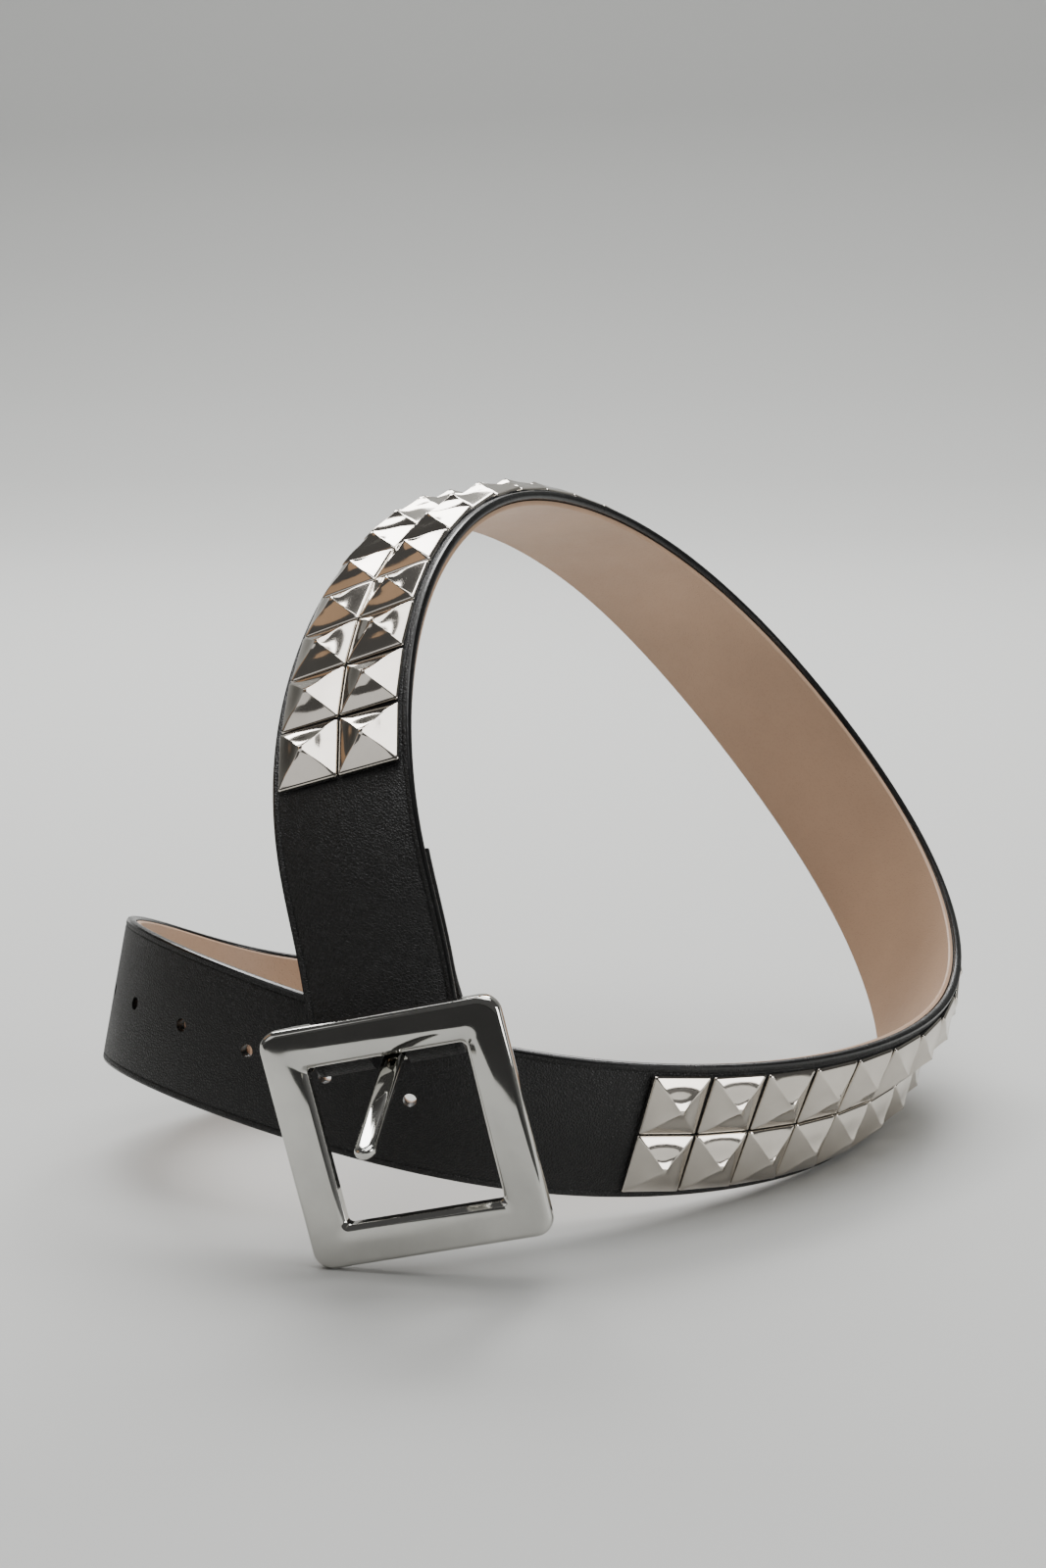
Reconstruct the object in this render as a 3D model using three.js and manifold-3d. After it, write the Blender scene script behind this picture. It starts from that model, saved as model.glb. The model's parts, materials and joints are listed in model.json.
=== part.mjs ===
// A studded leather belt lying as it was left: its lower turn stands on the rim, the studded run
// climbs at the back, arches over and comes down in front to a square prong buckle.
// Millimetres, +Z up. The origin is the middle of the footprint, on the surface that it stands on.
import * as THREE from "three";
import { mergeVertices } from "three/addons/utils/BufferGeometryUtils.js";
import Module from "manifold-3d";

const wasm = await Module();
wasm.setup();

// Clearance between pieces that touch on the real belt
const SEAT_GAP = 0.3;

// Strap: an outer leather and an inset lining, side by side
const STRAP_WIDTH = 38;
const LEATHER_THICKNESS = 2.4;
const LEATHER_EDGE = 0.6;
const LINING_THICKNESS = 1.2;
const LINING_INSET = 1.0;
const PLAIN_RUN = 66;
const FOLD_TAIL = 44;
const FOLD_BLEND = 14;
const TIP_ROUND = 19;
const STEP_LENGTH = 8.5;

// Punched holes, counted from the last stud towards the tip
const HOLE_COUNT = 7;
const HOLE_DIAMETER = 3.4;
const HOLE_SPACING = 21.6;
const FIRST_HOLE = 58;
const TIP_RUN = 87;

// Pyramid studs, two rows side by side
const STUD_COUNT = 33;
const STUD_PITCH = 16.9;
const STUD_HEIGHT = 4.8;
const STUD_SHOULDER = 1.9;
const STUD_RIM = 0.7;

// Buckle: square frame, heel bar behind its top side, prong on the bar
const FRAME_SIDE = 61;
const FRAME_BAR = 10.3;
const FRAME_THICKNESS = 4.6;
const FRAME_EDGE = 1.3;
const FRAME_CORNER = 4.6;
const WINDOW_CORNER = 1.4;
const FRAME_TOP = 10.9;
const FRAME_SLACK = 1.0;
const BAR_RADIUS = 2;
const LUG_WIDTH = 4;
const LUG_GAP = 1.4;
const PRONG_WIDTH = 5.2;
const PRONG_THICKNESS = 3;
const PRONG_LENGTH = 46;
const PRONG_EDGE = 0.6;
const EYE_WALL = 1.6;
const SLOT_WIDTH = 9;
const SLOT_REACH = 7;

// How the buckle stands: the frame's swing back from the strap's line and its slide across it, the
// prong's lift from the frame and its slide along the bar
const FRAME_SWING = 19.5;
const FRAME_SLIDE = 0.8;
const PRONG_LIFT = 74;
const PRONG_SLIDE = 0.7;

// Overall sizes of the run that the strap lies along
const RUN_HALF_WIDTH = 110;
const RUN_DEPTH = 120;
const RUN_HEIGHT = 170;

// The run of the strap's middle from the bar to the tip. Places are shares of the sizes above;
// turn and rise are the rim's heading in plan and its slope up, in degrees.
const RUN = [
  { x: -0.294, y: -0.67, z: 0.327, turn: -14, rise: 11 },
  { x: -0.329, y: -0.61, z: 0.453, turn: -16, rise: 11 },
  { x: -0.378, y: -0.54, z: 0.59, turn: -19, rise: 12 },
  { x: -0.37, y: -0.172, z: 0.853, turn: -28, rise: 19 },
  { x: -0.23, y: 0.27, z: 0.975, turn: -30, rise: 17 },
  { x: -0.014, y: 0.72, z: 0.963, turn: -28, rise: 12 },
  { x: 0.298, y: 1.072, z: 0.822, turn: -34, rise: 20 },
  { x: 0.649, y: 1.205, z: 0.576, turn: -31, rise: 35 },
  { x: 0.938, y: 1.025, z: 0.315, turn: -27, rise: 44 },
  { x: 1.016, y: 0.605, z: 0.148, turn: -29, rise: 54 },
  { x: 0.855, y: 0.137, z: 0.104, turn: -31, rise: 64 },
  { x: 0.503, y: -0.239, z: 0.121, turn: -36, rise: 70 },
  { x: 0.02, y: -0.452, z: 0.172, turn: -34, rise: 75 },
  { x: -0.503, y: -0.426, z: 0.249, turn: -19, rise: 77 },
  { x: -0.907, y: -0.104, z: 0.288, turn: 25, rise: 78 },
  { x: -0.92, y: 0.36, z: 0.22, turn: 55, rise: 75 },
  { x: -0.68, y: 0.58, z: 0.135, turn: 65, rise: 77 },
  { x: -0.4, y: 0.61, z: 0.11, turn: 70, rise: 80 },
  { x: -0.1, y: 0.59, z: 0.11, turn: 75, rise: 80 },
];

// Levels across the strap, measured outwards from the middle of its thickness
const STRAP_THICKNESS = LEATHER_THICKNESS + SEAT_GAP + LINING_THICKNESS;
const LEATHER_FACE = STRAP_THICKNESS / 2;
const LEATHER_MIDDLE = LEATHER_FACE - LEATHER_THICKNESS / 2;
const LEATHER_BACK = LEATHER_FACE - LEATHER_THICKNESS;
const LINING_MIDDLE = LEATHER_BACK - SEAT_GAP - LINING_THICKNESS / 2;
const BAR_LEVEL = LEATHER_BACK - SEAT_GAP - BAR_RADIUS;
const FOLD_RADIUS = LEATHER_MIDDLE - BAR_LEVEL;
const TAIL_LEVEL = LEATHER_BACK - SEAT_GAP - LEATHER_THICKNESS / 2;

// Lengths along the strap, measured from the bar
const STUDS_END = PLAIN_RUN + STUD_COUNT * STUD_PITCH;
const STRAP_LENGTH = STUDS_END + FIRST_HOLE + (HOLE_COUNT - 1) * HOLE_SPACING + TIP_RUN;

const radians = THREE.MathUtils.degToRad;
const vector = (x, y, z) => new THREE.Vector3(x, y, z);

// Value of a natural cubic spline through one value for each knot.
function naturalSpline(knots, values) {
  const last = knots.length - 1;
  const slopeGain = [0];
  const bend = new Array(last + 1).fill(0);
  const reduced = [0];
  for (let i = 1; i < last; i++) {
    const before = knots[i] - knots[i - 1];
    const after = knots[i + 1] - knots[i];
    const pivot = 2 * (before + after) - before * slopeGain[i - 1];
    const change = (values[i + 1] - values[i]) / after - (values[i] - values[i - 1]) / before;
    slopeGain[i] = after / pivot;
    reduced[i] = (6 * change - before * reduced[i - 1]) / pivot;
  }
  for (let i = last - 1; i > 0; i--) {
    bend[i] = reduced[i] - slopeGain[i] * bend[i + 1];
  }
  return (t) => {
    const i = Math.max(0, knots.findLastIndex((knot, k) => knot <= t && k < last));
    const span = knots[i + 1] - knots[i];
    const a = (knots[i + 1] - t) / span;
    const b = (t - knots[i]) / span;
    const lift = ((a ** 3 - a) * bend[i] + (b ** 3 - b) * bend[i + 1]) * span * span;
    return a * values[i] + b * values[i + 1] + lift / 6;
  };
}

// The strap's run: where its middle is, and which way it heads, faces and rises, at a length.
function strapRun() {
  const points = RUN.map((row) => {
    return vector(row.x * RUN_HALF_WIDTH, row.y * RUN_DEPTH, row.z * RUN_HEIGHT);
  });
  const rims = RUN.map((row) => {
    const level = Math.cos(radians(row.rise));
    const turn = radians(row.turn);
    return vector(level * Math.cos(turn), level * Math.sin(turn), Math.sin(radians(row.rise)));
  });
  const knots = [0];
  points.slice(1).forEach((point, i) => knots.push(knots[i] + point.distanceTo(points[i])));
  const splinesOf = (rows) => ["x", "y", "z"].map((key) => {
    return naturalSpline(knots, rows.map((row) => row[key]));
  });
  const pointSplines = splinesOf(points);
  const rimSplines = splinesOf(rims);
  const read = (splines, t) => vector(...splines.map((spline) => spline(t)));

  const samples = 1200;
  const table = [{ length: 0, t: 0 }];
  let before = read(pointSplines, 0);
  for (let i = 1; i <= samples; i++) {
    const t = (knots.at(-1) * i) / samples;
    const here = read(pointSplines, t);
    table.push({ length: table.at(-1).length + here.distanceTo(before), t });
    before = here;
  }
  const knotAt = (length) => {
    const i = Math.max(1, table.findIndex((row) => row.length >= length));
    const share = (length - table[i - 1].length) / (table[i].length - table[i - 1].length);
    return table[i - 1].t + share * (table[i].t - table[i - 1].t);
  };
  const routeLength = table.at(-1).length;

  return (length) => {
    const inside = Math.min(length, routeLength - 1);
    const t = knotAt(inside);
    const ahead = read(pointSplines, t + 0.5);
    const along = ahead.sub(read(pointSplines, Math.max(0, t - 0.5))).normalize();
    const out = new THREE.Vector3().crossVectors(read(rimSplines, t), along).normalize();
    const rim = new THREE.Vector3().crossVectors(along, out);
    const point = read(pointSplines, t).addScaledVector(along, length - inside);
    return { point, along, out, rim };
  };
}

const runAt = strapRun();

// A frame whose point lies at a level out of the strap's middle.
function raised(frame, level) {
  return { ...frame, point: frame.point.clone().addScaledVector(frame.out, level) };
}

// Even lengths from one end to the other, about one step apart.
function evenLengths(from, to, step = STEP_LENGTH) {
  const count = Math.max(1, Math.round((to - from) / step));
  return Array.from({ length: count + 1 }, (_, i) => from + ((to - from) * i) / count);
}

// Corners of a rectangle with cut corners, across the strap: out and rim distances.
function sectionCorners(halfWidth, halfThickness, edge) {
  const o = halfThickness;
  const r = halfWidth;
  const e = Math.min(edge, r / 2);
  const upper = e === 0 ? [[o, r], [-o, r]] : [[o, r - e], [o - e, r], [e - o, r], [-o, r - e]];
  const lower = upper.map(([out, rim]) => [-out, -rim]);
  return [[o, 0], ...upper, [-o, 0], ...lower];
}

// One ring of points round a frame.
function ringOf(frame, halfWidth, thickness, edge) {
  return sectionCorners(halfWidth, thickness / 2, edge).map(([out, rim]) => {
    return frame.point.clone().addScaledVector(frame.out, out).addScaledVector(frame.rim, rim);
  });
}

// A closed body from corner triples.
function geometryOf(triangles) {
  const positions = triangles.flatMap((corners) => corners.flatMap((p) => [p.x, p.y, p.z]));
  const geometry = new THREE.BufferGeometry();
  geometry.setAttribute("position", new THREE.Float32BufferAttribute(positions, 3));
  geometry.computeVertexNormals();
  return geometry;
}

// A closed body through rings that each have the same number of points.
function loft(rings) {
  const triangles = [];
  rings.slice(1).forEach((next, i) => {
    const ring = rings[i];
    ring.forEach((corner, j) => {
      const k = (j + 1) % ring.length;
      triangles.push([corner, ring[k], next[k]], [corner, next[k], next[j]]);
    });
  });
  const first = rings[0];
  const last = rings.at(-1);
  for (let j = 1; j < first.length - 1; j++) {
    triangles.push([first[0], first[j + 1], first[j]], [last[0], last[j], last[j + 1]]);
  }
  return geometryOf(triangles);
}

// A closed geometry as a solid that can be joined and cut.
function solidOf(geometry) {
  const bare = new THREE.BufferGeometry();
  bare.setAttribute("position", geometry.getAttribute("position"));
  if (geometry.index) bare.setIndex(geometry.index);
  const merged = mergeVertices(bare, 1e-3);
  return new wasm.Manifold(new wasm.Mesh({
    numProp: 3,
    vertProperties: new Float32Array(merged.attributes.position.array),
    triVerts: new Uint32Array(merged.index.array),
  }));
}

// A joined or cut solid back as a geometry with flat faces.
function geometryFrom(solid) {
  const mesh = solid.getMesh();
  const geometry = new THREE.BufferGeometry();
  geometry.setAttribute("position", new THREE.BufferAttribute(mesh.vertProperties, mesh.numProp));
  geometry.setIndex(new THREE.BufferAttribute(mesh.triVerts, 1));
  const flat = geometry.toNonIndexed();
  flat.computeVertexNormals();
  return flat;
}

// Half the strap's width at a length, drawn in to a round tip.
function halfWidthAt(length, inset) {
  const intoTip = Math.max(0, length - (STRAP_LENGTH - TIP_ROUND)) / TIP_ROUND;
  return (STRAP_WIDTH / 2) * Math.sqrt(1 - intoTip ** 2) - inset;
}

// Lengths of the rings along the strap, closer together round the tip.
function strapLengths(from) {
  const tipStart = STRAP_LENGTH - TIP_ROUND;
  const tipTurns = [18, 36, 54, 68, 78];
  return [
    ...evenLengths(from, PLAIN_RUN),
    ...evenLengths(PLAIN_RUN, STUDS_END).slice(1),
    ...evenLengths(STUDS_END, tipStart).slice(1),
    ...tipTurns.map((turn) => tipStart + TIP_ROUND * Math.sin(radians(turn))),
  ];
}

// Round cutters through the strap where its holes are punched.
function cutHoles(solid) {
  for (let i = 0; i < HOLE_COUNT; i++) {
    const frame = runAt(STUDS_END + FIRST_HOLE + i * HOLE_SPACING);
    const punch = new THREE.CylinderGeometry(HOLE_DIAMETER / 2, HOLE_DIAMETER / 2, 4 * STRAP_THICKNESS, 12);
    punch.applyMatrix4(new THREE.Matrix4().makeBasis(frame.along, frame.out, frame.rim));
    punch.translate(frame.point.x, frame.point.y, frame.point.z);
    solid = solid.subtract(solidOf(punch));
  }
  return solid;
}

// Where the buckle's bar lies in the strap's fold.
const strapEnd = runAt(0);
const barCentre = raised(strapEnd, BAR_LEVEL).point;
const barBasis = new THREE.Matrix4().makeBasis(strapEnd.rim, strapEnd.along, strapEnd.out);
const atBar = barBasis.clone().setPosition(barCentre);

// Frames of the fold: down the tail behind the strap, out to the bar's back, and round under it.
function foldFrames() {
  const behindBar = BAR_LEVEL - FOLD_RADIUS;
  const clearOfBar = BAR_RADIUS;
  const tail = [
    ...evenLengths(FOLD_TAIL, FOLD_BLEND + clearOfBar),
    ...evenLengths(FOLD_BLEND + clearOfBar, clearOfBar, 2).slice(1),
  ];
  const frames = tail.map((length) => {
    const share = THREE.MathUtils.clamp((length - clearOfBar) / FOLD_BLEND, 0, 1);
    const level = behindBar + (TAIL_LEVEL - behindBar) * THREE.MathUtils.smoothstep(share, 0, 1);
    const slope = ((TAIL_LEVEL - behindBar) * 6 * share * (1 - share)) / FOLD_BLEND;
    const frame = raised(runAt(length), level);
    const along = frame.along.clone().addScaledVector(frame.out, slope).normalize().negate();
    return { ...frame, along, out: new THREE.Vector3().crossVectors(frame.rim, along) };
  });
  for (let angle = 0; angle < 180; angle += 20) {
    const back = Math.cos(radians(angle));
    const under = Math.sin(radians(angle));
    const out = strapEnd.out.clone().multiplyScalar(-back).addScaledVector(strapEnd.along, -under);
    const point = barCentre.clone().addScaledVector(out, FOLD_RADIUS);
    frames.push({ point, out, rim: strapEnd.rim });
  }
  return frames;
}

function leatherStrap() {
  const rings = foldFrames().map((frame) => {
    return ringOf(frame, STRAP_WIDTH / 2, LEATHER_THICKNESS, LEATHER_EDGE);
  });
  for (const length of strapLengths(0)) {
    const frame = raised(runAt(length), LEATHER_MIDDLE);
    rings.push(ringOf(frame, halfWidthAt(length, 0), LEATHER_THICKNESS, LEATHER_EDGE));
  }
  const slotDepth = 4 * (FOLD_RADIUS + LEATHER_THICKNESS);
  const slotFoot = FOLD_RADIUS + LEATHER_THICKNESS;
  const slot = new THREE.BoxGeometry(SLOT_WIDTH, SLOT_REACH + slotFoot, slotDepth);
  slot.translate(0, (SLOT_REACH - slotFoot) / 2, 0);
  slot.applyMatrix4(atBar);
  return geometryFrom(cutHoles(solidOf(loft(rings))).subtract(solidOf(slot)));
}

function lining() {
  const rings = strapLengths(FOLD_TAIL + SEAT_GAP + LINING_INSET).map((length) => {
    const frame = raised(runAt(length), LINING_MIDDLE);
    return ringOf(frame, halfWidthAt(length, LINING_INSET), LINING_THICKNESS, 0);
  });
  return geometryFrom(cutHoles(solidOf(loft(rings))));
}

// Height of a stud's hollowed faces: rim, shoulder and point, by distance from its middle.
function studHeight(distance) {
  const rows = [STUD_HEIGHT, STUD_SHOULDER, STUD_RIM];
  return rows[Math.round(distance * 2)];
}

// One row of studs in one piece, its grooves a rim's height above the leather.
function studRow(side) {
  const places = [-1, -0.5, 0, 0.5, 1];
  const base = LEATHER_FACE + SEAT_GAP;
  const grid = [];
  for (let stud = 0; stud < STUD_COUNT; stud++) {
    const middle = PLAIN_RUN + (stud + 0.5) * STUD_PITCH;
    for (const u of stud === 0 ? places : places.slice(1)) {
      const frame = runAt(middle + (u * STUD_PITCH) / 2);
      const place = (w, level) => {
        const rim = ((side + w) * STUD_PITCH) / 2;
        return frame.point.clone().addScaledVector(frame.rim, rim).addScaledVector(frame.out, level);
      };
      const top = places.map((w) => {
        return place(w, base + studHeight(Math.max(Math.abs(u), Math.abs(w))));
      });
      grid.push({ u, top, foot: [place(-1, base), place(1, base)] });
    }
  }
  const triangles = [];
  grid.slice(1).forEach((next, i) => {
    const here = grid[i];
    for (let j = 0; j < places.length - 1; j++) {
      const [a, b, c, d] = [here.top[j], here.top[j + 1], next.top[j + 1], next.top[j]];
      const ridgeRises = next.u <= 0 === places[j + 1] <= 0;
      triangles.push(...(ridgeRises ? [[a, b, c], [a, c, d]] : [[a, b, d], [b, c, d]]));
    }
    const [low, high] = here.foot;
    const [nextLow, nextHigh] = next.foot;
    triangles.push([low, nextHigh, high], [low, nextLow, nextHigh]);
    triangles.push([high, nextHigh, next.top.at(-1)], [high, next.top.at(-1), here.top.at(-1)]);
    triangles.push([low, here.top[0], next.top[0]], [low, next.top[0], nextLow]);
  });
  const ends = [{ row: grid[0], faces: -1 }, { row: grid.at(-1), faces: 1 }];
  for (const { row, faces } of ends) {
    const outline = [...row.foot, ...[...row.top].reverse()];
    for (let j = 1; j < outline.length - 1; j++) {
      const corners = [outline[0], outline[j], outline[j + 1]];
      triangles.push(faces > 0 ? corners.reverse() : corners);
    }
  }
  return geometryOf(triangles);
}

// A square outline with round corners, centred on the origin.
function roundedSquare(side, corner, Outline) {
  const far = side / 2;
  const near = far - corner;
  const outline = new Outline();
  outline.moveTo(-near, -far);
  outline.lineTo(near, -far);
  outline.absarc(near, -near, corner, -Math.PI / 2, 0);
  outline.lineTo(far, near);
  outline.absarc(near, near, corner, 0, Math.PI / 2);
  outline.lineTo(-near, far);
  outline.absarc(-near, near, corner, Math.PI / 2, Math.PI);
  outline.lineTo(-far, -near);
  outline.absarc(-near, -near, corner, Math.PI, 1.5 * Math.PI);
  return outline;
}

// The frame, its two lugs and the heel bar, soldered: x along the bar, y to the top side, z to the front.
const frameBack = BAR_RADIUS + SEAT_GAP + LEATHER_THICKNESS + FRAME_SLACK;
function buckleFrame() {
  const outline = roundedSquare(FRAME_SIDE, FRAME_CORNER, THREE.Shape);
  outline.holes.push(roundedSquare(FRAME_SIDE - 2 * FRAME_BAR, WINDOW_CORNER, THREE.Path));
  const frame = new THREE.ExtrudeGeometry(outline, {
    depth: FRAME_THICKNESS - 2 * FRAME_EDGE,
    bevelThickness: FRAME_EDGE,
    bevelSize: FRAME_EDGE,
    bevelOffset: -FRAME_EDGE,
    bevelSegments: 2,
    curveSegments: 4,
  });
  frame.translate(0, FRAME_TOP - FRAME_SIDE / 2, frameBack + FRAME_EDGE);
  const lugMiddle = STRAP_WIDTH / 2 + LUG_GAP + LUG_WIDTH / 2;
  const lugDepth = frameBack + FRAME_THICKNESS / 2 + BAR_RADIUS;
  let solid = solidOf(frame);
  for (const side of [-1, 1]) {
    const lug = new THREE.BoxGeometry(LUG_WIDTH, 2 * BAR_RADIUS, lugDepth);
    lug.translate(side * lugMiddle, 0, lugDepth / 2 - BAR_RADIUS);
    solid = solid.add(solidOf(lug));
  }
  const bar = new THREE.CylinderGeometry(BAR_RADIUS, BAR_RADIUS, 2 * lugMiddle, 16);
  bar.rotateZ(Math.PI / 2);
  return geometryFrom(solid.add(solidOf(bar)));
}

// The prong: an eye round the bar and a straight shank, drawn in to a round tip.
function prong() {
  const eyeHole = BAR_RADIUS + SEAT_GAP;
  const eyeRadius = eyeHole + EYE_WALL;
  const half = PRONG_THICKNESS / 2 - PRONG_EDGE;
  const meeting = Math.asin(half / (eyeRadius - PRONG_EDGE));
  const profile = new THREE.Shape();
  profile.absarc(0, 0, eyeRadius - PRONG_EDGE, meeting, 2 * Math.PI - meeting, false);
  profile.lineTo(PRONG_LENGTH - PRONG_EDGE - half, -half);
  profile.absarc(PRONG_LENGTH - PRONG_EDGE - half, 0, half, -Math.PI / 2, Math.PI / 2, false);
  const eye = new THREE.Path();
  eye.absarc(0, 0, eyeHole + PRONG_EDGE, 0, 2 * Math.PI, false);
  profile.holes.push(eye);
  const body = new THREE.ExtrudeGeometry(profile, {
    depth: PRONG_WIDTH - 2 * PRONG_EDGE,
    bevelThickness: PRONG_EDGE,
    bevelSize: PRONG_EDGE,
    bevelSegments: 1,
    curveSegments: 6,
  });
  body.translate(0, 0, PRONG_EDGE - PRONG_WIDTH / 2);
  const tipRadius = PRONG_WIDTH / 2;
  const plan = new THREE.Shape();
  plan.moveTo(-2 * eyeRadius, -tipRadius);
  plan.lineTo(PRONG_LENGTH - tipRadius, -tipRadius);
  plan.absarc(PRONG_LENGTH - tipRadius, 0, tipRadius, -Math.PI / 2, Math.PI / 2, false);
  plan.lineTo(-2 * eyeRadius, tipRadius);
  const planBlock = new THREE.ExtrudeGeometry(plan, {
    depth: 4 * eyeRadius,
    bevelEnabled: false,
    curveSegments: 6,
  });
  planBlock.translate(0, 0, -2 * eyeRadius);
  planBlock.rotateX(Math.PI / 2);
  const shaped = geometryFrom(solidOf(body).intersect(solidOf(planBlock)));
  const hanging = new THREE.Matrix4().makeBasis(vector(0, -1, 0), vector(0, 0, 1), vector(-1, 0, 0));
  return shaped.applyMatrix4(hanging);
}

const finishes = {
  leather: new THREE.MeshStandardMaterial({ color: 0x121212, roughness: 0.5, metalness: 0 }),
  lining: new THREE.MeshStandardMaterial({ color: 0xb98f72, roughness: 0.7, metalness: 0 }),
  studs: new THREE.MeshStandardMaterial({ color: 0xd6d0c4, roughness: 0.16, metalness: 1 }),
  buckle: new THREE.MeshStandardMaterial({ color: 0xc9c7c2, roughness: 0.12, metalness: 1 }),
};

function piece(name, geometry, finish) {
  const mesh = new THREE.Mesh(geometry, finish);
  mesh.name = name;
  return mesh;
}

const belt = new THREE.Group();
belt.add(piece("strap", leatherStrap(), finishes.leather));
belt.add(piece("lining", lining(), finishes.lining));
belt.add(piece("stud_row_upper", studRow(1), finishes.studs));
belt.add(piece("stud_row_lower", studRow(-1), finishes.studs));

const seat = new THREE.Group();
seat.applyMatrix4(atBar);
belt.add(seat);
const swing = new THREE.Group();
swing.position.x = FRAME_SLIDE;
swing.rotation.x = radians(FRAME_SWING);
swing.add(piece("buckle_frame", buckleFrame(), finishes.buckle));
seat.add(swing);
const lift = new THREE.Group();
lift.position.x = PRONG_SLIDE;
lift.rotation.x = -radians(PRONG_LIFT);
lift.add(piece("prong", prong(), finishes.buckle));
swing.add(lift);

// Stand the belt on its lowest points, with the origin at the middle of its footprint.
belt.updateMatrixWorld(true);
const box = new THREE.Box3().setFromObject(belt, true);
const middle = box.getCenter(new THREE.Vector3());
belt.position.set(-middle.x, -middle.y, -box.min.z);

export default belt;
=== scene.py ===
"""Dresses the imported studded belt: grained leather, tan lining, pyramid studs and a polished buckle.

Everything is in metres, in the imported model's own frame. The strap's run is worked out from the same
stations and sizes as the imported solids, and every piece is built along it.
"""

from __future__ import annotations

import json
import logging
import math
from dataclasses import dataclass, field
from enum import Enum
from typing import Callable, Iterable, NamedTuple, Sequence, Union

import bmesh
import bpy
import numpy as np
from mathutils import Matrix, Vector

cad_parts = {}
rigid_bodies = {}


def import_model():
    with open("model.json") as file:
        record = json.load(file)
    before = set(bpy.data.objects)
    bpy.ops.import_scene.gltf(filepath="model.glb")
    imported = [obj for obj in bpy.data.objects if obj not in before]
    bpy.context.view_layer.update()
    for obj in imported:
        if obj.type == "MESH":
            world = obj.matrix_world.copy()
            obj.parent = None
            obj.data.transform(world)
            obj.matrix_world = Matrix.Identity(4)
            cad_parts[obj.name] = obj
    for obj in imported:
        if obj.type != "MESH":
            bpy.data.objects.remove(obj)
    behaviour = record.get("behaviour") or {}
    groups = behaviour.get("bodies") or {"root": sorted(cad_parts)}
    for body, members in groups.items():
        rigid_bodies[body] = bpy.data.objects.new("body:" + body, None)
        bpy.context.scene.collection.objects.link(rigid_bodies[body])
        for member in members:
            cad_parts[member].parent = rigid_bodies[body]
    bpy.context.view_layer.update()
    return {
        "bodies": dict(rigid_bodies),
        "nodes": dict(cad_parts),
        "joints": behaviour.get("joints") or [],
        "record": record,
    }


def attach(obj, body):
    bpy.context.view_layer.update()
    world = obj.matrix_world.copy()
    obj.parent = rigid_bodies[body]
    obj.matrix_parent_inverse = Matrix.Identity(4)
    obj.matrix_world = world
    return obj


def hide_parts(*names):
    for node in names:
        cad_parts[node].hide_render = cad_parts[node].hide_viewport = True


LOG = logging.getLogger("studded_belt")
MM = 0.001


class Body(Enum):
    """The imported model's moving bodies."""

    BELT = "belt"
    FRAME = "frame"
    PRONG = "prong"


class Slot(Enum):
    """The record's material slots."""

    LEATHER = "leather"
    LINING = "lining"
    STUDS = "studs"
    BUCKLE = "buckle"


# The run that the strap lies along


class Station(NamedTuple):
    """One chosen place of the run: shares of its overall sizes, and the rim's heading in degrees."""

    x: float
    y: float
    z: float
    turn: float
    rise: float


RUN = (
    Station(-0.294, -0.67, 0.327, -14, 11),
    Station(-0.329, -0.61, 0.453, -16, 11),
    Station(-0.378, -0.54, 0.59, -19, 12),
    Station(-0.37, -0.172, 0.853, -28, 19),
    Station(-0.23, 0.27, 0.975, -30, 17),
    Station(-0.014, 0.72, 0.963, -28, 12),
    Station(0.298, 1.072, 0.822, -34, 20),
    Station(0.649, 1.205, 0.576, -31, 35),
    Station(0.938, 1.025, 0.315, -27, 44),
    Station(1.016, 0.605, 0.148, -29, 54),
    Station(0.855, 0.137, 0.104, -31, 64),
    Station(0.503, -0.239, 0.121, -36, 70),
    Station(0.02, -0.452, 0.172, -34, 75),
    Station(-0.503, -0.426, 0.249, -19, 77),
    Station(-0.907, -0.104, 0.288, 25, 78),
    Station(-0.92, 0.36, 0.22, 55, 75),
    Station(-0.68, 0.58, 0.135, 65, 77),
    Station(-0.4, 0.61, 0.11, 70, 80),
    Station(-0.1, 0.59, 0.11, 75, 80),
)


class NaturalSpline:
    """A natural cubic spline through one row of numbers for each knot."""

    def __init__(self, knots: np.ndarray, values: np.ndarray) -> None:
        """Works out the bends at the knots.

        Args:
            knots: Rising places, one for each row of values.
            values: One row for each knot.
        """
        self.knots = knots
        self.values = values
        self.bends = np.zeros_like(values)
        gain = np.zeros(len(knots))
        reduced = np.zeros_like(values)
        for i in range(1, len(knots) - 1):
            before = knots[i] - knots[i - 1]
            after = knots[i + 1] - knots[i]
            pivot = 2 * (before + after) - before * gain[i - 1]
            change = (values[i + 1] - values[i]) / after - (values[i] - values[i - 1]) / before
            gain[i] = after / pivot
            reduced[i] = (6 * change - before * reduced[i - 1]) / pivot
        for i in range(len(knots) - 2, 0, -1):
            self.bends[i] = reduced[i] - gain[i] * self.bends[i + 1]

    def at(self, place: float) -> np.ndarray:
        """The row of numbers at a place.

        Args:
            place: A place on the knots' scale.

        Returns:
            The spline's row there.
        """
        i = int(np.clip(np.searchsorted(self.knots, place, side="right") - 1, 0, len(self.knots) - 2))
        span = self.knots[i + 1] - self.knots[i]
        a = (self.knots[i + 1] - place) / span
        b = (place - self.knots[i]) / span
        lift = ((a**3 - a) * self.bends[i] + (b**3 - b) * self.bends[i + 1]) * span * span
        return a * self.values[i] + b * self.values[i + 1] + lift / 6


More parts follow.
